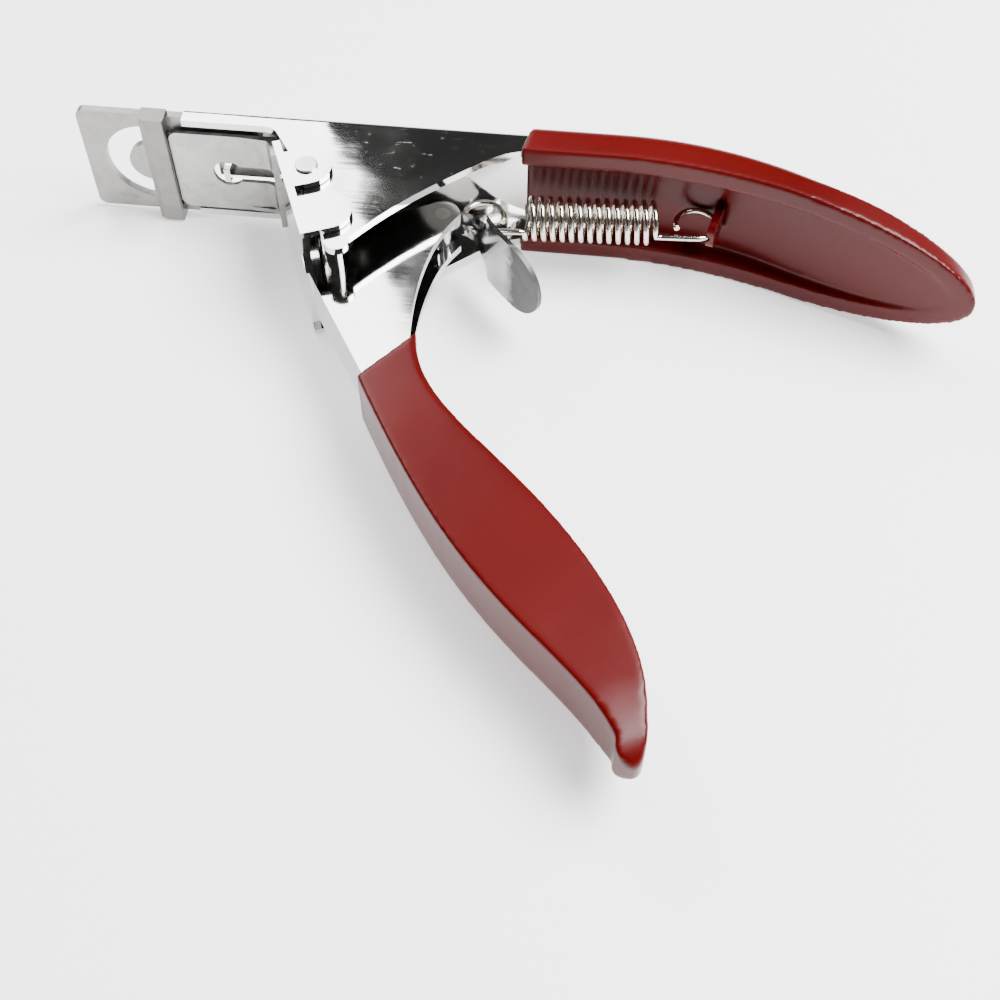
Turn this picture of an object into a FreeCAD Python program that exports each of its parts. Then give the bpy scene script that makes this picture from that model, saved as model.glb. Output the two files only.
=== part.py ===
"""Guillotine nail clipper: two pressed channel handles, a sliding blade and a return spring.

Frame: the clipper lies on its side.  +X runs along the fixed handle from the cutting head to the
tail, +Y points out of the back of the fixed handle and +Z is up.  Lengths are millimetres.
The design is drawn with the head end of the fixed handle's web at X = 0 and its back at Y = 0,
and is shifted at the end so that the origin is the centre of the bottom of the bounding box.
"""
import os

import FreeCAD
import Part
from math import cos, radians, sin, tan, hypot, atan2, degrees

V = FreeCAD.Vector
os.makedirs("parts", exist_ok=True)

# ---- driving dimensions -------------------------------------------------------------------
frame_width = 20.0        # outer width of the fixed handle's channel, along Z
sheet = 1.2               # steel thickness of both handles
coat = 1.1                # thickness of the dipped coating on both grips
side_clearance = 0.15     # gap between the handles' flanges, each side
outer_corner = 1.3        # outside radius of the fixed handle's folds
ear_sheet = 0.95          # thickness of the lever's outer ears

straight_length = 70.0    # fixed handle, head end of the web to the start of its curve
tail_radius = 64.0        # back of the fixed handle's curve
tail_turn = 25.0          # degrees the back turns through
tail_run = 34.0           # straight end of the fixed handle, before its round end is cut
taper_start = 94.0        # X where the fixed handle's sides start to draw in
taper_length = 30.0       # from there to the round end of its steel
flange_depth = 4.4        # depth of the fixed handle's flanges along its grip
bend_depth = 3.4          # their depth where the back's curve ends
tail_depth = 0.8          # and at the very end
strip_depth = 3.2         # depth of the narrow flanges beside the slide
strip_length = 13.1       # length of those narrow flanges
grip_start = 55.0         # where the fixed handle's coating begins
lever_width = 8.0         # outer width of the lever's channel, along Z

plate_reach = 17.5        # cutting plate, beyond the web's head end
plate_sheet = 1.3         # its thickness
plate_tail = 12.0         # length of its two rails under the web
nail_radius = 7.5         # outer radius of the crescent opening
nail_gap = 3.8            # radial width of the crescent
nail_centre = -6.7        # X of the crescent's centre
strap_length = 4.1        # keeper strap, along X
strap_sheet = 0.8
blade_sheet = 0.5
blade_width = 14.4
slide_sheet = 0.7
slide_width = 15.6
slide_gap = 0.05          # running gap over and under the slide
key_centre = 6.4          # X of the keyhole's round end
key_radius = 2.5
key_slot = 3.2            # width of the keyhole's slot
nib_width = 2.6           # guide nib that stands through the keyhole
blade_travel = 7.6        # slide travel, open to closed
lever_swing = 25.0        # degrees, open to closed

pivot = V(26.6, -21.6, 0)      # fulcrum of the lever
pivot_radius = 2.0
drive_offset = V(-4.6, 9.1, 0)  # drive pin, from the fulcrum
drive_radius = 1.2
fit = 0.05                     # radial running clearance of pins
cam_gap = 0.15                 # side clearance of the drive pin in its cam slots
ear_radius = 3.9               # ears' round ends
anchor = V(42.9, -13.3, 0)     # pin that carries the finger tab
anchor_radius = 1.2
tab_sheet = 0.8
tab_width = 12.5
hook_radius = 3.15             # mean radius of the spring's end loops and coils
wire = 0.9                     # spring wire diameter
loop_gap = 0.3                 # clearance round the spring's end loops where they pass through
coil_turns = 14
emboss_height = 0.7            # thumb rest pressed out of the web

# ---- sizes that follow --------------------------------------------------------------------
mid = frame_width / 2
lever_low = mid - lever_width / 2             # outer faces of the lever's channel
lever_high = mid + lever_width / 2
ear_high = frame_width + side_clearance + ear_sheet
plate_back = -sheet
plate_face = plate_back - plate_sheet
blade_face = plate_face - slide_gap - blade_sheet
slide_face = blade_face - slide_sheet
strap_inner = slide_face - slide_gap
strap_face = strap_inner - strap_sheet
strap_right = nail_centre + strap_length
drive = pivot + drive_offset
base = -coat                                  # lowest level of the whole clipper


# ---- drawing helpers ----------------------------------------------------------------------
def wire_of(points):
    """A closed outline; a pair (x, y) is a corner and a triple (x, y, r) a rounded corner."""
    count = len(points)
    runs = []
    for i, point in enumerate(points):
        here = V(point[0], point[1], 0)
        before = V(points[i - 1][0], points[i - 1][1], 0)
        after = V(points[(i + 1) % count][0], points[(i + 1) % count][1], 0)
        radius = point[2] if len(point) > 2 else 0
        to_before = (before - here).normalize()
        to_after = (after - here).normalize()
        half = to_before.getAngle(to_after) / 2
        if radius and abs(half - radians(90)) > 1e-3:
            setback = radius / tan(half)
            centre = here + (to_before + to_after).normalize() * (radius / sin(half))
            first = here + to_before * setback
            last = here + to_after * setback
            middle = centre + (here - centre).normalize() * radius
            runs.append((first, middle, last))
        else:
            runs.append((here, None, here))
    edges = []
    for i, (first, middle, last) in enumerate(runs):
        if middle is not None:
            edges.append(Part.Arc(first, middle, last).toShape())
        following = runs[(i + 1) % count][0]
        if (following - last).Length > 1e-6:
            edges.append(Part.LineSegment(last, following).toShape())
    return Part.Wire(edges)


def prism(outline, low, high):
    """Extrude an outline, drawn as points or given as a wire, from z = low to z = high."""
    wire_shape = outline if isinstance(outline, Part.Wire) else wire_of(outline)
    solid = Part.Face(wire_shape).extrude(V(0, 0, high - low))
    solid.translate(V(0, 0, low))
    return solid


def box(low, high):
    return Part.makeBox(high[0] - low[0], high[1] - low[1], high[2] - low[2], V(*low))


def rod(centre, radius, low, high):
    return Part.makeCylinder(radius, high - low, V(centre.x, centre.y, low))


def turned(point, angle):
    """A point carried round the fulcrum by the lever."""
    arm = point - pivot
    c, s = cos(radians(angle)), sin(radians(angle))
    return pivot + V(arm.x * c - arm.y * s, arm.x * s + arm.y * c, 0)


def curve(points):
    spline = Part.BSplineCurve()
    spline.interpolate([V(x, y, 0) for x, y in points])
    return spline.toShape()


def line(a, b):
    return Part.LineSegment(V(a[0], a[1], 0), V(b[0], b[1], 0)).toShape()


# ---- fixed handle -------------------------------------------------------------------------
def back_point(distance, depth):
    """A point of the fixed handle, by distance along its back and depth below it."""
    turn = radians(tail_turn)
    bend = tail_radius * turn
    if distance <= straight_length:
        return (distance, -depth)
    if distance <= straight_length + bend:
        angle = (distance - straight_length) / tail_radius
        reach = tail_radius - depth
        return (straight_length + reach * sin(angle), reach * cos(angle) - tail_radius)
    run = distance - straight_length - bend
    x = straight_length + (tail_radius - depth) * sin(turn) + run * cos(turn)
    y = (tail_radius - depth) * cos(turn) - tail_radius - run * sin(turn)
    return (x, y)


frame_length = straight_length + tail_radius * radians(tail_turn) + tail_run


def back_edges(start, end, depth):
    """The back of the fixed handle from one distance to another, moved in by a depth."""
    marks = [start, straight_length, straight_length + tail_radius * radians(tail_turn), end]
    edges = [line(back_point(marks[0], depth), back_point(marks[1], depth))]
    middle = back_point((marks[1] + marks[2]) / 2, depth)
    ends = [back_point(marks[1], depth), back_point(marks[2], depth)]
    edges.append(Part.Arc(V(*ends[0], 0), V(*middle, 0), V(*ends[1], 0)).toShape())
    edges.append(line(ends[1], back_point(marks[3], depth)))
    return edges


step_head = (15.5, -4.1)
step_foot = (18.7, -9.0)


def frame_profile(grow):
    """Side view of the fixed handle; grow moves the grip's free edge outward."""
    back = back_edges(0 if not grow else grip_start - 6, frame_length, -grow)
    low = flange_depth + grow
    bend = tail_radius * radians(tail_turn)
    start, middle = back_point(straight_length, low), back_point(straight_length + bend / 2, low)
    stop = back_point(straight_length + bend, bend_depth + grow)
    toe = back_point(frame_length, tail_depth + grow)
    tail = [line(back_point(frame_length, -grow), toe)]
    free = [line(toe, stop), curve([stop, middle, start]), line(start, (grip_start + 1, -low))]
    return back, tail, free, low


def tail_plan(grow):
    """Everything inside the plan of the fixed handle, whose sides draw in to a round end."""
    half = mid + grow
    ellipse = Part.Ellipse(V(taper_start, mid, 0), taper_length + grow, half)
    end = Part.ArcOfEllipse(ellipse, -radians(90), radians(90)).toShape()
    corners = [(taper_start, mid + half), (-30, mid + half), (-30, mid - half), (taper_start, mid - half)]
    edges = [end] + [line(a, b) for a, b in zip(corners, corners[1:])]
    plan = Part.Face(Part.Wire(Part.__sortEdges__(edges)))
    plan.rotate(V(0, 0, 0), V(1, 0, 0), 90)
    plan.translate(V(0, 20, 0))
    return plan.extrude(V(0, -90, 0))


def frame_outline():
    back, tail, free, low = frame_profile(0)
    sweep = curve([(grip_start + 1, -low), (51.0, -6.0), (46.5, -9.4), (39.5, -15.6), (30.6, -25.9)])
    hook = Part.Arc(V(30.6, -25.9, 0), V(28.9, -28.5, 0), V(27.2, -26.0, 0)).toShape()
    edge = line((27.2, -26.0), step_foot)
    step = line(step_foot, step_head)
    turn = curve([step_head, (strip_length + 1.2, -strip_depth - 0.15), (strip_length, -strip_depth)])
    strip = [line((strip_length, -strip_depth), (0, -strip_depth)), line((0, -strip_depth), (0, 0))]
    edges = back + tail + free + [sweep, hook, edge, step, turn] + strip
    return Part.Wire(Part.__sortEdges__(edges))


def grip_outline():
    back, tail, free, low = frame_profile(coat)
    start = grip_start - 6
    front = [line((grip_start + 1, -low), (start, -low)), line((start, -low), (start, coat))]
    return Part.Wire(Part.__sortEdges__(back + tail + free + front))


def frame_hollow(wall, start):
    """What the channel leaves open, inside walls of one thickness."""
    back = back_edges(start, frame_length, wall)
    end = back_point(frame_length, wall)
    far = back_point(frame_length, 60)
    rest = [line(end, far), line(far, (start, -60)), line((start, -60), (start, -wall))]
    outline = Part.Wire(Part.__sortEdges__(back + rest))
    return prism(outline, wall, frame_width - wall)


def stadium(x_low, x_high, z_mid, width, y_low, y_high):
    """A slot with round ends, cut along Y."""
    radius = width / 2
    parts = [box((x_low + radius, y_low, z_mid - radius), (x_high - radius, y_high, z_mid + radius))]
    for x in (x_low + radius, x_high - radius):
        parts.append(Part.makeCylinder(radius, y_high - y_low, V(x, y_low, z_mid), V(0, 1, 0)))
    return parts[0].fuse(parts[1:]).removeSplitter()


window_start = 1.9
window_length = 13.0
window_width = 8.8
tongue_width = 5.4


def drive_notch(extra):
    """The room the drive pin sweeps through the fixed handle's flanges."""
    reach = drive_offset.Length
    start = atan2(drive_offset.y, drive_offset.x)
    radius = drive_radius + extra
    ends = [start - radians(0.5), start + radians(lever_swing + 14)]
    arcs = []
    for r in (reach + radius, reach - radius):
        points = [pivot + V(r * cos(a), r * sin(a), 0) for a in (ends[0], sum(ends) / 2, ends[1])]
        arcs.append(points)
    edges = [Part.Arc(*arcs[0]).toShape(), Part.Arc(*arcs[1]).toShape()]
    edges.append(Part.LineSegment(arcs[0][0], arcs[1][0]).toShape())
    edges.append(Part.LineSegment(arcs[0][2], arcs[1][2]).toShape())
    slot = prism(Part.Wire(Part.__sortEdges__(edges)), -5, frame_width + 5)
    cap = pivot + V(reach * cos(ends[0]), reach * sin(ends[0]), 0)
    return slot.fuse(rod(cap, radius, -5, frame_width + 5))


def frame_channel():
    channel = prism(frame_outline(), 0, frame_width)
    channel = channel.common(back_envelope(0, 0, frame_width, outer_corner))
    channel = channel.common(tail_plan(0))
    channel = channel.cut(frame_hollow(sheet, -1).common(tail_plan(-sheet)))
    # U-shaped window, which leaves a tongue with a nib that guides the slide
    far = -sheet - 1
    slots = [stadium(window_start, window_start + window_length, mid + side *
                     (window_width + tongue_width) / 4, (window_width - tongue_width) / 2, far, 1)
             for side in (-1, 1)]
    bridge = (window_width - tongue_width) / 4
    slots.append(box((window_start, far, mid - window_width / 2 + bridge),
                     (window_start + 2.2, 1, mid + window_width / 2 - bridge)))
    channel = channel.cut(slots[0].fuse(slots[1:]))
    nib_x = key_centre - 0.6
    nib = box((nib_x, slide_face - 0.6, mid - nib_width / 2),
              (nib_x + 1.0, -sheet + 0.2, mid + nib_width / 2))
    channel = channel.fuse(nib)
    # thumb rest pressed outward: an oval mound with a crescent step beside it
    mound = thumb_rest(emboss_height)
    channel = channel.fuse(mound).cut(rod(pivot, pivot_radius + fit, -1, frame_width + 1))
    channel = channel.cut(drive_notch(0.25))
    lug = spring_lug()
    return channel.fuse(lug).removeSplitter()


def back_envelope(out, low, high, radius):
    """Everything under the back of the fixed handle, with its two long corners rounded."""
    deep = tail_radius - 6
    corner = [(out, low, radius), (out, high, radius), (-deep, high), (-deep, low)]
    flat = wire_of(corner)
    section = Part.Face(flat)
    section.rotate(V(0, 0, 0), V(1, 0, 0), 90)
    section.rotate(V(0, 0, 0), V(0, 0, 1), 90)
    straight = section.copy()
    straight.translate(V(-5, 0, 0))
    straight = straight.extrude(V(straight_length + 5, 0, 0))
    start = section.copy()
    start.translate(V(straight_length, 0, 0))
    centre = V(straight_length, -tail_radius, 0)
    bend = start.revolve(centre, V(0, 0, 1), -tail_turn)
    last = start.copy()
    last.rotate(centre, V(0, 0, 1), -tail_turn)
    turn = radians(tail_turn)
    run = last.extrude(V(cos(turn), -sin(turn), 0) * (tail_run + 12))
    return straight.fuse([bend, run])


rest_start = 18.5
rest_length = 20.0
rest_width = 5.4


def thumb_rest(height):
    """Low rounded mounds on the back of the web."""
    long_mound = mound_of(rest_start, rest_length, mid + 1.6, rest_width, height)
    short_mound = mound_of(rest_start + 13.0, rest_length * 0.55, mid - 4.4, rest_width * 0.62, height)
    return long_mound.fuse(short_mound)


def mound_of(x, length, z, width, height):
    radius = width / 2
    body = stadium(x, x + length, z, width, -sheet / 2, height)
    rim = [e for e in body.Edges if e.BoundBox.YMin > height - 0.01]
    return body.makeFillet(min(height * 0.9, radius * 0.5), rim)


lug_width = 5.0
lug_at = straight_length + 17.2       # distance along the back
hook_depth = sheet + coat + 3.0       # where the spring's loop passes through the lug
lug_depth = hook_depth + 3.3          # the lug's foot, below the handle's back


def spring_lug():
    """Lug pressed in from the web, with the hole that holds the spring's tail loop."""
    top = back_point(lug_at, sheet * 0.6)
    foot = back_point(lug_at, lug_depth)
    lean = atan2(top[1] - foot[1], top[0] - foot[0])
    length = hypot(top[0] - foot[0], top[1] - foot[1])
    plate = box((0, -sheet / 2, -lug_width / 2), (length, sheet / 2, lug_width / 2))
    corner = [e for e in plate.Edges if e.BoundBox.XMax < 0.01 and e.BoundBox.YLength > 0.1]
    plate = plate.makeFillet(1.8, corner)
    plate.rotate(V(0, 0, 0), V(0, 0, 1), degrees(lean))
    plate.translate(V(foot[0], foot[1], mid))
    return plate.cut(loop_clearance(tail_loop()))


def tail_loop():
    """Centre of the spring's tail loop, which passes through the lug."""
    hook = back_point(lug_at, hook_depth)
    return V(hook[0] - hook_radius, hook[1], mid)


def coat_edge_cutter():
    """The slightly slanted end of the dipped coating: thinner towards the head."""
    skew = 2.2
    outline = [(grip_start - 30, 20), (grip_start + 0.6, 20), (grip_start + 0.6, coat),
               (grip_start - skew, -12), (grip_start - skew, -40), (grip_start - 30, -40)]
    return prism(outline, -10, frame_width + 10)


def frame_grip(channel):
    body = prism(grip_outline(), base, frame_width + coat)
    body = body.common(back_envelope(coat, base, frame_width + coat, outer_corner + coat))
    body = body.common(tail_plan(coat))
    body = body.cut(frame_hollow(sheet + coat, grip_start - 20).common(tail_plan(-sheet - coat)))
    body = body.cut(coat_edge_cutter())
    return body.cut(channel)


# ---- cutting head -------------------------------------------------------------------------
def anvil_plate():
    outline = [(-plate_reach, plate_back), (0, plate_back), (0, plate_face), (-plate_reach, plate_face)]
    plate = prism(outline, 0, frame_width)
    corners = [e for e in plate.Edges if e.BoundBox.XMax < -plate_reach + 0.01
               and e.BoundBox.YLength > 0.5]
    plate = plate.makeFillet(1.4, corners)
    rail_low = sheet + 0.05
    rail_high = mid - window_width / 2 - 0.3
    tail = box((0, plate_face, rail_low), (window_start - 0.3, plate_back,
                                           frame_width - rail_low))
    rails = []
    for low, high in ((rail_low, rail_high), (frame_width - rail_high, frame_width - rail_low)):
        rails.append(box((0, plate_face, low), (plate_tail, plate_back, high)))
    plate = plate.fuse([tail] + rails)
    crescent = ring_half(nail_radius, nail_radius - nail_gap)
    return plate.cut(crescent).removeSplitter()


def ring_half(outer, inner):
    """Crescent cutter: a half ring that opens towards the handles, with round ends."""
    low, high = plate_face - 1, plate_back + 1
    deep = high - low
    ring = Part.makeCylinder(outer, deep, V(nail_centre, low, mid), V(0, 1, 0))
    ring = ring.cut(Part.makeCylinder(inner, deep, V(nail_centre, low, mid), V(0, 1, 0)))
    ring = ring.cut(box((nail_centre, low - 1, mid - 20), (nail_centre + 20, high + 1, mid + 20)))
    radius = (outer - inner) / 2
    for side in (-1, 1):
        z = mid + side * (outer + inner) / 2
        ring = ring.fuse(Part.makeCylinder(radius, deep, V(nail_centre, low, z), V(0, 1, 0)))
    return ring.removeSplitter()


def keeper_strap():
    wrap = 0.6
    chamfer = 1.1
    outline = [(nail_centre, plate_back - 0.25), (strap_right, plate_back - 0.25),
               (strap_right, strap_face, 0.3), (nail_centre + chamfer, strap_face),
               (nail_centre, strap_face + strap_sheet * 0.75)]
    strap = prism(outline, -wrap, frame_width + wrap)
    strap = strap.cut(box((nail_centre - 1, plate_face, 0), (strap_right + 1, 1, frame_width)))
    room = slide_width / 2 + 0.12
    channel = box((nail_centre - 1, strap_inner, mid - room), (strap_right + 1, 0, mid + room))
    return strap.cut(channel)


def keyhole(low, high):
    deep = high - low
    hole = Part.makeCylinder(key_radius, deep, V(key_centre, low, mid), V(0, 1, 0))
    slot = stadium(key_centre - key_slot / 2, key_centre + blade_travel + key_slot / 2 + 0.6,
                   mid, key_slot, low, high)
    return hole.fuse(slot)


bend_at = 13.4            # where the slide turns down into its lip
lip_end = V(15.0, -7.3, 0)


def blade_carrier():
    """Sliding plate with the keyhole, a turned-down lip and two side arms with cam slots."""
    back = blade_face
    left = strap_right + 0.1
    inside = 2.6
    lean = (lip_end - V(bend_at + 0.9, slide_face, 0)).normalize()
    across = V(-lean.y, lean.x, 0) * slide_sheet
    outline = [(left, slide_face), (left, back), (bend_at + 1.4, back, inside),
               (lip_end.x + across.x, lip_end.y + across.y), (lip_end.x, lip_end.y),
               (bend_at + 0.5, slide_face, inside - slide_sheet)]
    low, high = mid - slide_width / 2, mid + slide_width / 2
    plate = prism(outline, low, high)
    corners = [e for e in plate.Edges if e.BoundBox.XMax < left + 0.01 and e.BoundBox.YLength > 0.3]
    plate = plate.makeFillet(1.6, corners)
    plate = plate.cut(keyhole(slide_face - 3, back + 1))
    arm_sheet = 0.8
    reach = drive.x + blade_travel - 1.0
    arm = [(9.0, back), (16.2, back), (drive.x + 3.6, drive.y + 2.6, 2.0),
           (reach, drive.y - 2.0, 1.5), (reach - 0.8, drive.y - 4.8, 1.2),
           (drive.x + 3.4, drive.y - 4.2, 1.0), (drive.x - 1.0, drive.y - 0.4, 1.0),
           (bend_at + 3.9, slide_face - 3.2, 1.0), (bend_at + 1.0, slide_face - 0.4),
           (9.0, slide_face)]
    for start in (low, high - arm_sheet):
        plate = plate.fuse(prism(arm, start, start + arm_sheet))
    return plate.cut(cam_slot()).removeSplitter()


def cam_slot():
    """Slot that the drive pin follows while the slide moves in step with the lever."""
    steps = 6
    centres = []
    for i in range(steps + 1):
        share = i / steps
        point = turned(drive, lever_swing * share)
        centres.append(point + V(blade_travel * share, 0, 0))
    radius = drive_radius + cam_gap
    cutter = rod(centres[0], radius, -1, frame_width + 1)
    for a, b in zip(centres, centres[1:]):
        along = (b - a).normalize()
        side = V(-along.y, along.x, 0) * radius
        corners = [a + side, b + side, b - side, a - side]
        cutter = cutter.fuse(prism([(p.x, p.y) for p in corners], -1, frame_width + 1))
        cutter = cutter.fuse(rod(b, radius, -1, frame_width + 1))
    return cutter


def blade():
    """Hardened strip under the front of the slide, ground to a bevelled edge."""
    edge = nail_centre + 0.25
    tail = 3.0
    bevel = 0.9
    back = blade_face + blade_sheet
    outline = [(edge, back), (tail, back), (tail, blade_face), (edge + bevel, blade_face)]
    return prism(outline, mid - blade_width / 2, mid + blade_width / 2)


# ---- lever --------------------------------------------------------------------------------
lever_top = (15.75, -7.75)
kink = (23.4, -26.2)
neck = (35.9, -47.2)
tip_centre = V(73.1, -93.2, mid)       # where the lever's sides start to draw in
tip_length = 10.0                      # from there to the end of its steel
tip_heading = V(0.44, -0.9, 0).normalize()


def lever_back(depth):
    """Grip part of the lever's back, moved in by a depth."""
    points = [neck, (44.6, -62.3), (52.6, -73.8), (63.1, -85.2), (71.6, -93.4), (76.0, -99.0)]
    moved = []
    for i, (x, y) in enumerate(points):
        a = points[max(i - 1, 0)]
        b = points[min(i + 1, len(points) - 1)]
        size = hypot(b[0] - a[0], b[1] - a[1])
        moved.append((x - (b[1] - a[1]) / size * depth, y + (b[0] - a[0]) / size * depth))
    return moved


def lever_free(grow):
    """Grip part of the lever's free edge, moved out by grow."""
    points = [(41.3, -39.0), (44.4, -48.3), (51.8, -57.0), (62.2, -67.3), (70.8, -78.1),
              (76.4, -89.1), (77.8, -96.8)]
    moved = []
    for i, (x, y) in enumerate(points):
        a = points[max(i - 1, 0)]
        b = points[min(i + 1, len(points) - 1)]
        size = hypot(b[0] - a[0], b[1] - a[1])
        moved.append((x - (b[1] - a[1]) / size * grow, y + (b[0] - a[0]) / size * grow))
    return moved


def along_lever(first, last, depth):
    """First and last points of a straight wall moved in by a depth."""
    size = hypot(last[0] - first[0], last[1] - first[1])
    dx = -(last[1] - first[1]) / size * depth
    dy = (last[0] - first[0]) / size * depth
    return (first[0] + dx, first[1] + dy), (last[0] + dx, last[1] + dy)


def lever_outline():
    back = lever_back(0)
    free = lever_free(0)
    tip = curve([back[-1], (76.7, -101.0), (77.4, -101.2), (77.9, -99.6), free[-1]])
    crown_radius = anchor_radius + 1.5
    right = anchor + V(crown_radius, 0, 0)
    left = anchor + V(-crown_radius * 0.5, crown_radius * 0.866, 0)
    top = anchor + V(crown_radius * 0.5, crown_radius * 0.866, 0)
    hump = curve([free[0], (41.0, -31.8), (41.6, -24.5), (43.2, -18.0), (right.x, right.y)])
    crown = Part.Arc(right, top, left).toShape()
    brow = curve([(left.x, left.y), (35.0, -14.4), (28.5, -17.2)])
    root = curve([(28.5, -17.2), (25.0, -17.8), (21.6, -19.2)])
    side = line((21.6, -19.2), kink)
    edges = [line(kink, neck), curve(back), tip, curve(free), hump, crown, brow, root, side]
    return Part.Wire(Part.__sortEdges__(edges))


def round_end(body, grow):
    """Draw the lever's sides in to a round end, seen from the fixed handle."""
    half = lever_width / 2 + grow
    ellipse = Part.Ellipse(V(0, 0, 0), tip_length + grow, half)
    end = Part.ArcOfEllipse(ellipse, -radians(90), radians(90)).toShape()
    corners = [(0, half), (-120, half), (-120, -half), (0, -half)]
    edges = [end] + [line(a, b) for a, b in zip(corners, corners[1:])]
    plan = Part.Face(Part.Wire(Part.__sortEdges__(edges)))
    plan.rotate(V(0, 0, 0), V(1, 0, 0), 90)
    plan.translate(V(0, 40, 0))
    plan = plan.extrude(V(0, -80, 0))
    plan.rotate(V(0, 0, 0), V(0, 0, 1), degrees(atan2(tip_heading.y, tip_heading.x)))
    plan.translate(tip_centre)
    return body.common(plan)


def lever_hollow(wall):
    """Room inside the nested part of the lever."""
    first, last = along_lever(kink, neck, wall)
    back = lever_back(wall)
    end = back[-1]
    edges = [line(first, back[0]), curve(back), line(end, (end[0] + 30, end[1] + 4)),
             line((end[0] + 30, end[1] + 4), (90, 0)), line((90, 0), (16, 0)),
             line((16, 0), first)]
    return prism(Part.Wire(Part.__sortEdges__(edges)), lever_low + wall, lever_high - wall)


def ears():
    """Wide upper web with two rounded ears on each side, outside the fixed handle's flanges."""
    inner_top, inner_kink = along_lever(lever_top, kink, sheet)
    web = prism([lever_top, inner_top, inner_kink, kink], mid - ear_high + mid, ear_high)
    parts = [web]
    skin = frame_width + side_clearance
    for low, high in ((skin, ear_high), (frame_width - ear_high, -side_clearance)):
        for centre in (drive, pivot):
            foot_a, foot_b = ear_feet(centre)
            flap = prism([foot_a, foot_b, (centre.x, centre.y)], low, high)
            parts += [flap, rod(centre, ear_radius, low, high)]
            parts += [prism(ear_sides(centre, foot_a, foot_b), low, high)]
    whole = parts[0].fuse(parts[1:])
    # trim what would stand beyond the back of the web
    away = V(kink[0] - lever_top[0], kink[1] - lever_top[1], 0).normalize()
    out = V(away.y, -away.x, 0) * 30
    a = V(lever_top[0], lever_top[1], 0) - away * 30
    b = V(kink[0], kink[1], 0) + away * 30
    outline = [(p.x, p.y) for p in (a, b, b + out, a + out)]
    return whole.cut(prism(outline, -10, frame_width + 10)).removeSplitter()


def ear_feet(centre):
    """Where an ear's sides meet the web."""
    along = V(kink[0] - lever_top[0], kink[1] - lever_top[1], 0).normalize()
    start = V(lever_top[0], lever_top[1], 0)
    foot = start + along * (centre - start).dot(along)
    a = foot - along * ear_radius
    b = foot + along * ear_radius
    return (a.x, a.y), (b.x, b.y)


def ear_sides(centre, foot_a, foot_b):
    along = V(kink[0] - lever_top[0], kink[1] - lever_top[1], 0).normalize() * ear_radius
    return [foot_a, foot_b, (centre.x + along.x, centre.y + along.y),
            (centre.x - along.x, centre.y - along.y)]


def lever_channel():
    channel = prism(lever_outline(), lever_low, lever_high)
    channel = round_end(channel.cut(lever_hollow(sheet)), 0)
    joined = channel.fuse(ears())
    # bend between the wide web and the narrow channel
    joined = joined.fuse(prism([(22.7, -24.6), (23.8, -24.0), (25.2, -27.8), (24.1, -28.2)],
                               lever_low, lever_high))
    joined = joined.cut(rod(pivot, pivot_radius, -5, frame_width + 5))
    joined = joined.cut(rod(drive, drive_radius, -5, frame_width + 5))
    joined = joined.cut(rod(anchor, anchor_radius, -5, frame_width + 5))
    return joined.removeSplitter()


def lever_grip(channel):
    back = lever_back(-coat)
    free = lever_free(coat)
    tip = curve([back[-1], (76.2, -102.2), (77.8, -102.6), (79.0, -99.9), free[-1]])
    upper = line(back[0], free[0])
    outline = Part.Wire(Part.__sortEdges__([upper, curve(back), tip, curve(free)]))
    low, high = lever_low - coat, lever_high + coat
    body = prism(outline, low, high)
    hollow_back = lever_back(sheet + coat)
    end = hollow_back[-1]
    edges = [line((30, -30), hollow_back[0]), curve(hollow_back),
             line(end, (end[0] + 30, end[1] + 12)), line((end[0] + 30, end[1] + 12), (90, -20)),
             line((90, -20), (30, -30))]
    hollow = prism(Part.Wire(Part.__sortEdges__(edges)), low + sheet + 2 * coat,
                   high - sheet - 2 * coat)
    return round_end(body.cut(hollow), coat).cut(channel)


# ---- pins, tab and spring -----------------------------------------------------------------
def pivot_rivet():
    """Flush rivet that joins the ears, the fixed flanges and the nested flanges."""
    return rod(pivot, pivot_radius, frame_width - ear_high, ear_high)


def drive_pin():
    """Cross pin in the upper ears; its near end is headed and stands proud."""
    shank = rod(drive, drive_radius, frame_width - ear_high, ear_high)
    head = rod(drive, drive_radius + 0.55, ear_high, ear_high + 0.35)
    head = head.makeFillet(0.15, [e for e in head.Edges if e.BoundBox.ZMin > ear_high + 0.3])
    return shank.fuse(head)


def anchor_pin():
    return rod(anchor, anchor_radius, lever_low, lever_high)


neck_half = 2.2           # half width of the tab's neck


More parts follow.
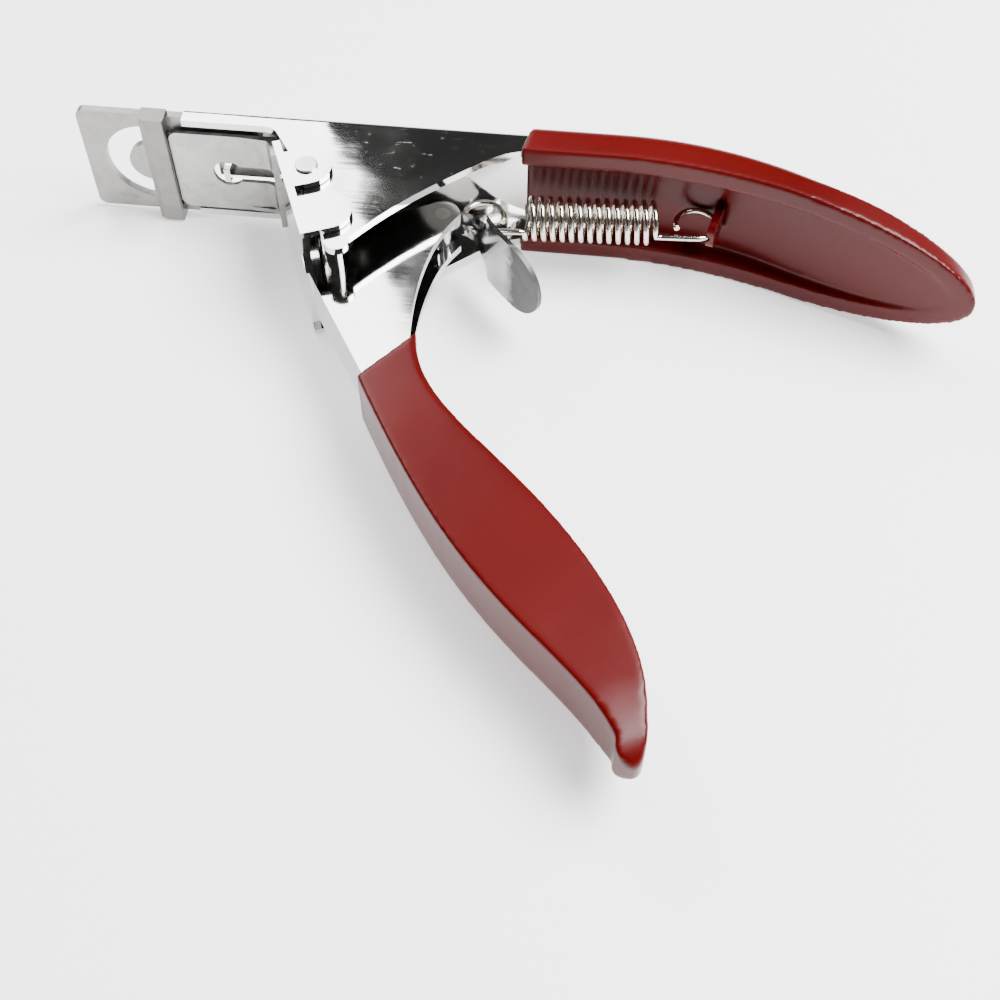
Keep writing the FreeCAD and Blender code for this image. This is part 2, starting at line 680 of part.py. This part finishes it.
def finger_tab():
    """Sprung strip: an eye round the anchor pin, a pierced neck and a wide curved tongue."""
    half = tab_sheet / 2
    ring = anchor_radius + fit + half
    path = [anchor + V(ring * cos(radians(a)), ring * sin(radians(a)), 0) for a in (250, 160, 70)]
    eye = Part.Arc(*path).toShape()
    steps = [(3.0, 2.2), (4.8, 1.1), (7.1, -2.4), (10.1, -6.3), (13.3, -9.7), (16.4, -12.7)]
    rest = curve([(path[2].x, path[2].y)] + [(anchor.x + x, anchor.y + y) for x, y in steps])
    low, high = mid - tab_width / 2, mid + tab_width / 2
    strip = ribbon(eye, tab_sheet, low, high).fuse(ribbon(rest, tab_sheet, low, high))
    # the neck is narrow; the tongue widens from it with round shoulders
    shoulder = 3.0
    for side in (-1, 1):
        z = mid + side * (neck_half + 10)
        room = box((anchor.x - 4, anchor.y - 8, z - 10), (anchor.x + 7.2, anchor.y + 8, z + 10))
        edge = [e for e in room.Edges if e.BoundBox.XMin > anchor.x + 7 and e.BoundBox.ZLength < 0.1
                and abs(e.BoundBox.ZMin - mid - side * neck_half) < 0.1]
        strip = strip.cut(room.makeFillet(shoulder, edge))
    heading = V(steps[-1][0] - steps[-2][0], steps[-1][1] - steps[-2][1], 0).normalize()
    radius = tab_width / 2
    centre = anchor + V(*steps[-1], mid) - heading * radius
    block = Part.makeBox(40, 20, tab_width + 2, V(0, -10, -radius - 1))
    block.rotate(V(0, 0, 0), V(0, 0, 1), degrees(atan2(heading.y, heading.x)))
    block.translate(centre)
    across = V(-heading.y, heading.x, 0)
    keep = Part.makeCylinder(radius, 20, centre - across * 10, across)
    strip = strip.cut(block.cut(keep))
    return strip.cut(loop_clearance(front_loop())).removeSplitter()


def front_loop():
    """Centre of the spring's front loop, which passes through the tab's neck."""
    return anchor + V(6.0, 4.1, mid)


def loop_clearance(centre):
    """What an end loop of the spring needs cut from the piece it passes through."""
    return Part.makeTorus(hook_radius, wire / 2 + loop_gap, centre, V(0, 0, 1))


def ribbon(spine, thickness, low, high):
    """A strip of one thickness whose middle follows a spine drawn in the XY plane."""
    count = 24
    points = spine.discretize(count)
    left, right = [], []
    for i, point in enumerate(points):
        a = points[max(i - 1, 0)]
        b = points[min(i + 1, count - 1)]
        along = (b - a).normalize()
        side = V(-along.y, along.x, 0) * (thickness / 2)
        left.append(point + side)
        right.append(point - side)
    edges = []
    for row in (left, right):
        spline = Part.BSplineCurve()
        spline.interpolate(row)
        edges.append(spline.toShape())
    edges.append(Part.LineSegment(left[0], right[0]).toShape())
    edges.append(Part.LineSegment(left[-1], right[-1]).toShape())
    return prism(Part.Wire(Part.__sortEdges__(edges)), low, high)


def return_spring():
    """Extension spring: open coils between two round hooks, in the mid plane."""
    front = front_loop()
    span = tail_loop() - front
    length = span.Length
    start, finish = hook_radius + 3.4, length - hook_radius - 3.2
    pitch = (finish - start) / coil_turns
    helix = Part.makeHelix(pitch, finish - start, hook_radius)
    profile = Part.Wire(Part.makeCircle(wire / 2, V(hook_radius, 0, 0), V(0, 1, 0)))
    coils = Part.Wire(helix.Edges).makePipeShell([profile], True, True)
    coils.rotate(V(0, 0, 0), V(0, 1, 0), 90)
    coils.rotate(V(0, 0, 0), V(1, 0, 0), -90)
    coils.translate(V(start, 0, 0))
    parts = [coils]
    for centre_x, opening, joint in ((0, -20, start), (length, 270, finish)):
        section = Part.Face(Part.Wire(Part.makeCircle(wire / 2, V(hook_radius, 0, 0), V(0, 1, 0))))
        section.rotate(V(0, 0, 0), V(0, 0, 1), opening)
        hook = section.revolve(V(0, 0, 0), V(0, 0, 1), 290)
        hook.translate(V(centre_x, 0, 0))
        leg = Part.makeCylinder(wire / 2, abs(joint - centre_x),
                                V(min(joint, centre_x), -hook_radius, 0), V(1, 0, 0))
        parts += [hook, leg, Part.makeSphere(wire / 2 + 0.04, V(joint, -hook_radius, 0))]
    spring = parts[0].fuse(parts[1:]).removeSplitter()
    spring.rotate(V(0, 0, 0), V(0, 0, 1), degrees(atan2(span.y, span.x)))
    spring.translate(front)
    return spring


# ---- assembly -----------------------------------------------------------------------------
def build():
    channel = frame_channel()
    lever = lever_channel()
    return {
        "frame_channel": channel,
        "frame_grip": frame_grip(channel),
        "anvil_plate": anvil_plate(),
        "keeper_strap": keeper_strap(),
        "blade_carrier": blade_carrier(),
        "blade": blade(),
        "lever_channel": lever,
        "lever_grip": lever_grip(lever),
        "pivot_rivet": pivot_rivet(),
        "drive_pin": drive_pin(),
        "anchor_pin": anchor_pin(),
        "finger_tab": finger_tab(),
        "return_spring": return_spring(),
    }


solids = build()
bounds = FreeCAD.BoundBox()
for shape in solids.values():
    bounds.add(shape.optimalBoundingBox(False))
shift = V(-(bounds.XMin + bounds.XMax) / 2, -(bounds.YMin + bounds.YMax) / 2, -bounds.ZMin)
print("shift", tuple(round(v, 3) for v in shift))
print("size", round(bounds.XLength, 2), round(bounds.YLength, 2), round(bounds.ZLength, 2))
for name, shape in solids.items():
    moved = shape.translated(shift)
    print(name, moved.ShapeType, len(moved.Solids), "valid", moved.isValid(), round(moved.Volume, 1))
    moved.exportStep("parts/" + name + ".step")
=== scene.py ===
"""Guillotine nail clipper: polished pressed-steel handles dipped in glossy red, on a white table.

Everything is in metres, in the CAD model's frame.  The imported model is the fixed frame: its metal
nodes stay and get their materials here, and the two dipped grips and the spring are remade.
"""
from math import cos, pi, radians, sin

import bmesh
import bpy
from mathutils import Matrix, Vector

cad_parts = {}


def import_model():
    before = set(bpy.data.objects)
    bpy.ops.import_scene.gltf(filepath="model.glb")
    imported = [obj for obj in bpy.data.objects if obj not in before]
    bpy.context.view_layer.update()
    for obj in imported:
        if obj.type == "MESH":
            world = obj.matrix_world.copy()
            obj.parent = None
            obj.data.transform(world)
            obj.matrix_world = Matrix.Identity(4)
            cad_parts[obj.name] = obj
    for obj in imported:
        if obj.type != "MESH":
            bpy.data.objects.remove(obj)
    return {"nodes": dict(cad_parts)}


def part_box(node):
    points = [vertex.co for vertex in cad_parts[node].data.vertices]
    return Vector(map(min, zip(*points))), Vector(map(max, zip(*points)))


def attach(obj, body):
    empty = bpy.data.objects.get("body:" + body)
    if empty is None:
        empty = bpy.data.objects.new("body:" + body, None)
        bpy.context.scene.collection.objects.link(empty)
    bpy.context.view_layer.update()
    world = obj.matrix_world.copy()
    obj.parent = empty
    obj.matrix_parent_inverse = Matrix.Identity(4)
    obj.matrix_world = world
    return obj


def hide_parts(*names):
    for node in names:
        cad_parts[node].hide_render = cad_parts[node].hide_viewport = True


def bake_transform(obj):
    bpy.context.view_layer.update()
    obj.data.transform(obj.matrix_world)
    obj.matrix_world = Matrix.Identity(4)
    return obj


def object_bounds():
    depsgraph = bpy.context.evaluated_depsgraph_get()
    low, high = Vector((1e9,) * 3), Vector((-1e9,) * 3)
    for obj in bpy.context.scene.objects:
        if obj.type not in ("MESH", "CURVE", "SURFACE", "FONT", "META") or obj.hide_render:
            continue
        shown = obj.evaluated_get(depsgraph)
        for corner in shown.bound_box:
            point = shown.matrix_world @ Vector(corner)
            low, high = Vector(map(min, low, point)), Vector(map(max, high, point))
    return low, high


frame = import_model()
nodes = frame["nodes"]
cad_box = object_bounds()

MM = 0.001
SIDE_MIDDLE = 0.5 * (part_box("frame_channel")[0].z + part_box("frame_channel")[1].z)
TABLE_TOP = cad_box[0].z
CAMERA_OFFSET = Vector((42.95, -157.7, 166.0)) * MM     # from the fulcrum rivet's middle
CAMERA_TILT = radians(35.0)
CAMERA_TURN = radians(6.08)
CAMERA_LENS = 52.96


def add(name, data):
    """Put a new object in the scene."""
    thing = bpy.data.objects.new(name, data)
    bpy.context.scene.collection.objects.link(thing)
    return thing


# ---- node-tree helpers --------------------------------------------------------------------
def fill_ramp(node, stops):
    """Give a colour ramp its stops; a plain number stands for a grey."""
    elements = node.color_ramp.elements
    while len(elements) < len(stops):
        elements.new(0.5)
    for element, (position, colour) in zip(elements, stops):
        element.position = position
        if not isinstance(colour, tuple):
            colour = (colour, colour, colour)
        element.color = (*colour, 1.0)


class Tree:
    """A material's nodes, with short calls for the ones used here."""

    def __init__(self, name):
        self.material = bpy.data.materials.new(name)
        self.material.use_nodes = True
        self.nodes = self.material.node_tree.nodes
        self.links = self.material.node_tree.links
        self.shader = self.nodes["Principled BSDF"]
        self.place = self.nodes.new("ShaderNodeTexCoord").outputs["Object"]

    def link(self, source, target):
        self.links.new(source, target)

    def scaled(self, scale):
        mapping = self.nodes.new("ShaderNodeMapping")
        mapping.inputs["Scale"].default_value = scale
        self.link(self.place, mapping.inputs["Vector"])
        return mapping.outputs["Vector"]

    def noise(self, scale, detail=4.0, rough=0.55, stretch=(1, 1, 1), distortion=0.0):
        texture = self.nodes.new("ShaderNodeTexNoise")
        texture.inputs["Scale"].default_value = scale
        texture.inputs["Detail"].default_value = detail
        texture.inputs["Roughness"].default_value = rough
        texture.inputs["Distortion"].default_value = distortion
        self.link(self.scaled(stretch), texture.inputs["Vector"])
        return texture.outputs["Fac"]

    def ramp(self, source, stops):
        ramp = self.nodes.new("ShaderNodeValToRGB")
        fill_ramp(ramp, stops)
        self.link(source, ramp.inputs["Fac"])
        return ramp.outputs["Color"]

    def mix(self, factor, first, second):
        node = self.nodes.new("ShaderNodeMix")
        node.data_type = "RGBA"
        self.put(node.inputs[0], factor)
        self.put(node.inputs[6], first)
        self.put(node.inputs[7], second)
        return node.outputs[2]

    def maths(self, operation, first, second=0.0):
        node = self.nodes.new("ShaderNodeMath")
        node.operation = operation
        self.put(node.inputs[0], first)
        self.put(node.inputs[1], second)
        return node.outputs[0]

    def put(self, socket, value):
        if isinstance(value, bpy.types.NodeSocket):
            self.link(value, socket)
        elif isinstance(value, tuple) and len(value) == 3:
            socket.default_value = (*value, 1.0)
        else:
            socket.default_value = value

    def bump(self, height, strength, distance, before=None):
        node = self.nodes.new("ShaderNodeBump")
        node.inputs["Strength"].default_value = strength
        node.inputs["Distance"].default_value = distance
        self.link(height, node.inputs["Height"])
        if before is not None:
            self.link(before, node.inputs["Normal"])
        return node.outputs["Normal"]

    def axis(self, name):
        node = self.nodes.new("ShaderNodeSeparateXYZ")
        self.link(self.place, node.inputs[0])
        return node.outputs[name]

    def finish(self, colour, rough, metallic, normal=None):
        self.put(self.shader.inputs["Base Color"], colour)
        self.put(self.shader.inputs["Roughness"], rough)
        self.shader.inputs["Metallic"].default_value = metallic
        if normal is not None:
            self.link(normal, self.shader.inputs["Normal"])
        return self.material


# ---- materials ----------------------------------------------------------------------------
def polished_steel(name, tint=(0.72, 0.71, 0.70), rough=0.045):
    """Buffed sheet: faint draw marks, fine scattered scratches, a slightly wavy surface."""
    tree = Tree(name)
    draw = tree.noise(90, 3, 0.5, (1.0, 14.0, 14.0))
    waves = tree.noise(55, 2, 0.5)
    scratches = tree.ramp(tree.noise(420, 6, 0.75, (1.0, 7.0, 3.0), 1.2),
                          [(0.0, 0.0), (0.66, 0.0), (0.74, 1.0)])
    smudge = tree.ramp(tree.noise(70, 5, 0.6, distortion=0.6), [(0.35, 0.0), (0.75, 1.0)])
    colour = tree.mix(smudge, tint, tuple(0.9 * c for c in tint))
    shine = tree.maths("ADD", tree.maths("MULTIPLY", smudge, 0.05), rough)
    shine = tree.maths("ADD", shine, tree.maths("MULTIPLY", scratches, 0.14))
    normal = tree.bump(waves, 0.20, 0.0009)
    normal = tree.bump(draw, 0.05, 0.00008, normal)
    normal = tree.bump(scratches, 0.12, 0.00003, normal)
    return tree.finish(colour, shine, 1.0, normal)


def satin_steel(name, tint=(0.27, 0.265, 0.255), rough=0.34):
    """Plain blanked steel: tumbled grain, blotches and a few dark stains."""
    tree = Tree(name)
    blotch = tree.ramp(tree.noise(190, 6, 0.65, distortion=0.9), [(0.38, 0.0), (0.62, 1.0)])
    stain = tree.ramp(tree.noise(260, 4, 0.6, distortion=1.6), [(0.60, 0.0), (0.74, 1.0)])
    grain = tree.noise(5200, 3, 0.7)
    colour = tree.mix(blotch, tuple(0.86 * c for c in tint), tuple(1.12 * c for c in tint))
    colour = tree.mix(tree.maths("MULTIPLY", stain, 0.45), colour, (0.10, 0.098, 0.09))
    shine = tree.maths("ADD", tree.maths("MULTIPLY", blotch, 0.12), rough)
    normal = tree.bump(grain, 0.25, 0.00003)
    normal = tree.bump(blotch, 0.10, 0.00006, normal)
    return tree.finish(colour, shine, 1.0, normal)


def ground_steel(name):
    """Ground blade: fine straight grinding lines along X."""
    tree = Tree(name)
    lines = tree.noise(2600, 4, 0.7, (0.05, 1.0, 1.0))
    colour = tree.mix(lines, (0.52, 0.52, 0.53), (0.78, 0.78, 0.79))
    return tree.finish(colour, 0.24, 1.0, tree.bump(lines, 0.35, 0.00004))


def spring_wire(name):
    """Bright drawn wire with a warm cast and fine lengthwise marks."""
    tree = Tree(name)
    marks = tree.noise(1500, 4, 0.6, (1.0, 1.0, 1.0), 1.0)
    colour = tree.mix(marks, (0.60, 0.56, 0.47), (0.86, 0.83, 0.76))
    return tree.finish(colour, 0.14, 1.0, tree.bump(marks, 0.15, 0.00004))


def red_coating(name):
    """Dipped vinyl: deep red, glossy, with slow dip waves, fine pores and a few specks."""
    tree = Tree(name)
    depth = tree.noise(34, 3, 0.5)
    colour = tree.mix(depth, (0.052, 0.0003, 0.0004), (0.090, 0.0006, 0.0007))
    specks = tree.ramp(tree.noise(900, 2, 0.5), [(0.0, 0.0), (0.735, 0.0), (0.78, 1.0)])
    colour = tree.mix(tree.maths("MULTIPLY", specks, 0.35), colour, (0.05, 0.0005, 0.0005))
    slow = tree.noise(70, 2, 0.4)
    pores = tree.noise(1500, 3, 0.5)
    normal = tree.bump(slow, 0.22, 0.0010)
    normal = tree.bump(pores, 0.06, 0.00003, normal)
    shader = tree.shader
    shader.inputs["Coat Weight"].default_value = 0.05
    shader.inputs["Specular IOR Level"].default_value = 0.20
    shader.inputs["Coat Roughness"].default_value = 0.12
    shader.inputs["IOR"].default_value = 1.5
    shine = tree.maths("ADD", tree.maths("MULTIPLY", depth, 0.12), 0.24)
    return tree.finish(colour, shine, 0.0, normal)


def tab_steel(name, tip):
    """Polished strip whose free end is a dull, mottled heat-treated grey."""
    tree = Tree(name)
    mottle = tree.noise(520, 6, 0.65, distortion=0.7)
    drop = tree.axis("Y")
    low, high = tip.y + 2.0 * MM, tip.y + 8.2 * MM
    share = tree.maths("DIVIDE", tree.maths("SUBTRACT", drop, low), high - low)
    share = tree.maths("ADD", share, tree.maths("MULTIPLY", tree.maths("SUBTRACT", mottle, 0.5), 0.5))
    polish = tree.ramp(share, [(0.35, 0.0), (0.62, 1.0)])
    dull = tree.mix(mottle, (0.05, 0.05, 0.05), (0.15, 0.148, 0.145))
    colour = tree.mix(polish, dull, (0.45, 0.45, 0.45))
    shine = tree.ramp(polish, [(0.0, 0.50), (1.0, 0.12)])
    return tree.finish(colour, shine, 1.0, tree.bump(mottle, 0.15, 0.00006))


# ---- CAD nodes ----------------------------------------------------------------------------
def dress(node, material):
    """Give a CAD node its material."""
    piece = nodes[node]
    piece.data.materials.clear()
    piece.data.materials.append(material)


polished = polished_steel("polished_steel")
satin = satin_steel("satin_steel")
dress("frame_channel", polished)
dress("lever_channel", polished_steel("lever_polished_steel", rough=0.05))
dress("anvil_plate", satin)
dress("keeper_strap", satin_steel("strap_steel", (0.20, 0.19, 0.18), 0.30))
dress("blade_carrier", satin_steel("slide_steel", (0.36, 0.355, 0.345), 0.28))
dress("blade", ground_steel("ground_steel"))
dress("pivot_rivet", polished)
dress("drive_pin", polished_steel("pin_steel", (0.62, 0.62, 0.62), 0.18))
dress("anchor_pin", polished_steel("anchor_steel", (0.7, 0.7, 0.7), 0.14))
tab_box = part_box("finger_tab")
dress("finger_tab", tab_steel("tab_steel", Vector((tab_box[1].x, tab_box[0].y, SIDE_MIDDLE))))


# ---- dipped grips -------------------------------------------------------------------------
def dipped_grip(name, node, body, material, voxel=0.35 * MM, passes=10):
    """Remake a grip's coating as one soft-edged skin: remeshed, then smoothed within its box."""
    mesh = nodes[node].data.copy()
    mesh.name = name
    piece = add(name, mesh)
    remesh = piece.modifiers.new("remesh", "REMESH")
    remesh.mode = "VOXEL"
    remesh.voxel_size = voxel
    smooth = piece.modifiers.new("dip", "SMOOTH")
    smooth.factor = 0.5
    smooth.iterations = passes
    bpy.context.view_layer.update()
    shaped = bpy.data.meshes.new_from_object(piece.evaluated_get(bpy.context.evaluated_depsgraph_get()))
    piece.modifiers.clear()
    piece.data = shaped
    for polygon in shaped.polygons:
        polygon.use_smooth = True
    shaped.materials.clear()
    shaped.materials.append(material)
    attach(piece, body)
    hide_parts(node)
    return piece


red = red_coating("red_coating")
dipped_grip("fixed_grip_coating", "frame_grip", "frame", red)
dipped_grip("lever_grip_coating", "lever_grip", "lever", red_coating("lever_red_coating"))


# the lug that holds the spring is dipped with the handle it is pressed from
channel = nodes["frame_channel"]
channel.data.materials.append(red)
LUG_ROOM = 6.5 * MM
lug_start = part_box("return_spring")[1].x - LUG_ROOM
for polygon in channel.data.polygons:
    if (channel.matrix_world @ polygon.center).x > lug_start:
        polygon.material_index = 1


# ---- return spring ------------------------------------------------------------------------
def tube(name, points, radius, material, sides=14):
    """A wire of round section through points, with closed ends."""
    mesh = bpy.data.meshes.new(name)
    grid = bmesh.new()
    rings = []
    normal = None
    for i, point in enumerate(points):
        ahead = points[min(i + 1, len(points) - 1)] - points[max(i - 1, 0)]
        ahead.normalize()
        if normal is None:
            normal = ahead.orthogonal().normalized()
        normal = (normal - ahead * normal.dot(ahead)).normalized()
        across = ahead.cross(normal)
        ring = []
        for k in range(sides):
            angle = 2 * pi * k / sides
            ring.append(grid.verts.new(point + (normal * cos(angle) + across * sin(angle)) * radius))
        rings.append(ring)
    for a, b in zip(rings, rings[1:]):
        for k in range(sides):
            grid.faces.new((a[k], a[(k + 1) % sides], b[(k + 1) % sides], b[k]))
    grid.faces.new(list(reversed(rings[0])))
    grid.faces.new(rings[-1])
    bmesh.ops.recalc_face_normals(grid, faces=grid.faces)
    for face in grid.faces:
        face.smooth = len(face.verts) == 4
    grid.to_mesh(mesh)
    grid.free()
    mesh.materials.append(material)
    piece = add(name, mesh)
    return piece


spring_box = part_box("return_spring")
WIRE = 0.45 * MM
LOOP = 3.15 * MM
TURNS = 14
EYE = LOOP + WIRE
HOOK_OPENING = -20.0
HOOK_TURN = 290.0
HOOK_STEPS = 32
COIL_STEPS = 30
LEAD_IN = 3.4 * MM
LEAD_OUT = 3.2 * MM


def spring_points(front, tail):
    """The wire's middle: front hook, coils and tail hook, along the line between the hooks."""
    span = tail - front
    length = span.length
    start, finish = LOOP + LEAD_IN, length - LOOP - LEAD_OUT
    points = []
    for i in range(HOOK_STEPS + 1):
        angle = radians(HOOK_OPENING + HOOK_TURN * i / HOOK_STEPS)
        points.append(Vector((LOOP * cos(angle), LOOP * sin(angle), 0)))
    for share in (0.3, 0.6, 0.85):
        points.append(Vector((start * share, -LOOP, 0)))
    for i in range(TURNS * COIL_STEPS + 1):
        angle = 2 * pi * i / COIL_STEPS
        x = start + (finish - start) * i / (TURNS * COIL_STEPS)
        points.append(Vector((x, -LOOP * cos(angle), -LOOP * sin(angle))))
    for share in (0.15, 0.4, 0.7):
        points.append(Vector((finish + (length - finish) * share, -LOOP, 0)))
    for i in range(HOOK_STEPS + 1):
        angle = radians(270 + HOOK_TURN * i / HOOK_STEPS)
        points.append(Vector((length + LOOP * cos(angle), LOOP * sin(angle), 0)))
    turn = span.to_track_quat("X", "Z").to_matrix().to_4x4()
    return [front + turn @ point for point in points]


spring_front = Vector((spring_box[0].x + EYE, spring_box[0].y + EYE, SIDE_MIDDLE))
spring_tail = Vector((spring_box[1].x - EYE, spring_box[1].y - EYE, SIDE_MIDDLE))
spring = tube("extension_spring", spring_points(spring_front, spring_tail), WIRE,
              spring_wire("spring_wire"))
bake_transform(spring)
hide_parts("return_spring")


# ---- table, light and camera --------------------------------------------------------------
def floor():
    mesh = bpy.data.meshes.new("table_top")
    size = 3.0
    corners = [(-size, -size), (size, -size), (size, size), (-size, size)]
    mesh.from_pydata([(x, y, TABLE_TOP) for x, y in corners], [], [(0, 1, 2, 3)])
    piece = add("table_top", mesh)
    tree = Tree("table_white")
    grain = tree.noise(600, 2)
    tree.shader.inputs["Emission Color"].default_value = (1, 1, 1, 1)
    tree.shader.inputs["Emission Strength"].default_value = 0.9
    white = tree.mix(grain, (0.93, 0.93, 0.935), (0.96, 0.96, 0.965))
    mesh.materials.append(tree.finish(white, 0.55, 0.0))


def area_light(name, place, size, power):
    """A white rectangular softbox that faces the middle of the table."""
    data = bpy.data.lights.new(name, "AREA")
    data.shape = "RECTANGLE"
    data.size, data.size_y = size
    data.energy = power
    lamp = add(name, data)
    lamp.location = place
    lamp.rotation_euler = (-Vector(place)).to_track_quat("-Z", "Y").to_euler()


def world():
    """White near the horizon and nearly black higher up, so that polished faces show contrast."""
    shell = bpy.data.worlds.new("studio")
    bpy.context.scene.world = shell
    shell.use_nodes = True
    tree = shell.node_tree
    place = tree.nodes.new("ShaderNodeTexCoord").outputs["Generated"]
    split = tree.nodes.new("ShaderNodeSeparateXYZ")
    tree.links.new(place, split.inputs[0])
    ramp = tree.nodes.new("ShaderNodeValToRGB")
    stops = [(0.0, 0.9), (0.50, 0.9), (0.60, 0.5), (0.72, 0.05), (0.92, 0.03), (1.0, 0.1)]
    fill_ramp(ramp, stops)
    half = tree.nodes.new("ShaderNodeMath")
    half.operation = "MULTIPLY_ADD"
    half.inputs[1].default_value = 0.5
    half.inputs[2].default_value = 0.5
    tree.links.new(split.outputs["Z"], half.inputs[0])
    tree.links.new(half.outputs[0], ramp.inputs["Fac"])
    tree.links.new(ramp.outputs["Color"], tree.nodes["Background"].inputs["Color"])
    tree.nodes["Background"].inputs["Strength"].default_value = 1.0


def camera():
    """The view in the reference: 55 degrees down, close, over the open side of the handles."""
    data = bpy.data.cameras.new("camera")
    data.sensor_width = 36.0
    data.lens = CAMERA_LENS
    data.clip_start = 0.01
    eye = add("camera", data)
    pivot = 0.5 * (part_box("pivot_rivet")[0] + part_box("pivot_rivet")[1])
    eye.location = pivot + CAMERA_OFFSET
    eye.rotation_euler = (CAMERA_TILT, 0.0, CAMERA_TURN)
    bpy.context.scene.camera = eye


floor()
world()
area_light("key_softbox", (0.50, 0.12, 0.85), (0.8, 0.6), 42.0)
area_light("left_softbox", (-0.47, 0.62, 0.70), (0.62, 0.50), 8.0)
camera()
